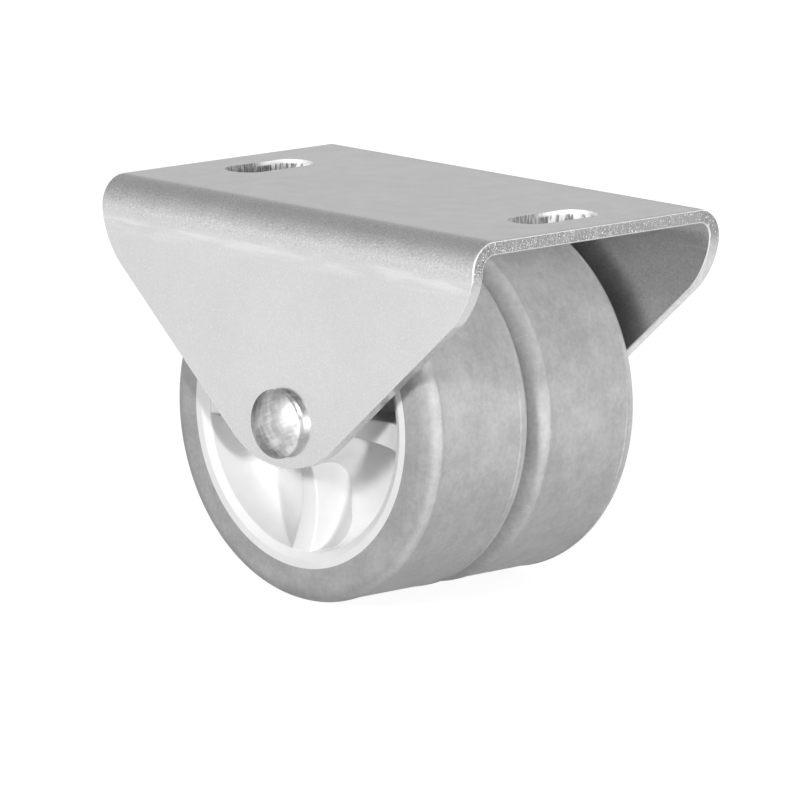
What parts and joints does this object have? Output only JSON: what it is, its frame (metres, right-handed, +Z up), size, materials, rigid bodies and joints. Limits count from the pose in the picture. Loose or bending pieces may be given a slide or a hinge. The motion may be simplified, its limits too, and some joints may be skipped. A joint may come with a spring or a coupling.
{
  "type": "fixed caster",
  "caption": "Fixed caster with side-by-side wheels on a riveted axle, a folded zinc-plated bracket with a slotted plate, white spoked hubs and soft grey tyres.",
  "frame": {"origin": "centre of the mounting plate's top face", "axes": "+X the rolling direction along the plate, +Y along the axle to the left, +Z up out of the plate"},
  "size_m": [0.0714, 0.0519, 0.054],
  "materials": {
    "zinc_plated_sheet": "satin zinc plating",
    "rivet_steel": "bright, scuffed by the heading tool",
    "sleeve_steel": "plain drawn tube",
    "hub_plastic": "white, satin as moulded",
    "tyre_elastomer": "grey soft elastomer, matt and faintly mottled"
  },
  "bodies": {
    "frame": {"bracket": "zinc_plated_sheet", "axle_rivet": "rivet_steel", "axle_sleeve": "sleeve_steel"},
    "right_wheel": {"right_hub": "hub_plastic", "right_tyre": "tyre_elastomer"},
    "left_wheel": {"left_hub": "hub_plastic", "left_tyre": "tyre_elastomer"}
  },
  "joints": [
    {"name": "right_wheel_spin", "type": "hinge", "parent": "frame", "child": "right_wheel", "pos_m": [0, -0.01025, -0.02905], "axis": [0, 1, 0], "continuous": true},
    {"name": "left_wheel_spin", "type": "hinge", "parent": "frame", "child": "left_wheel", "pos_m": [0, 0.01025, -0.02905], "axis": [0, 1, 0], "continuous": true}
  ]
}
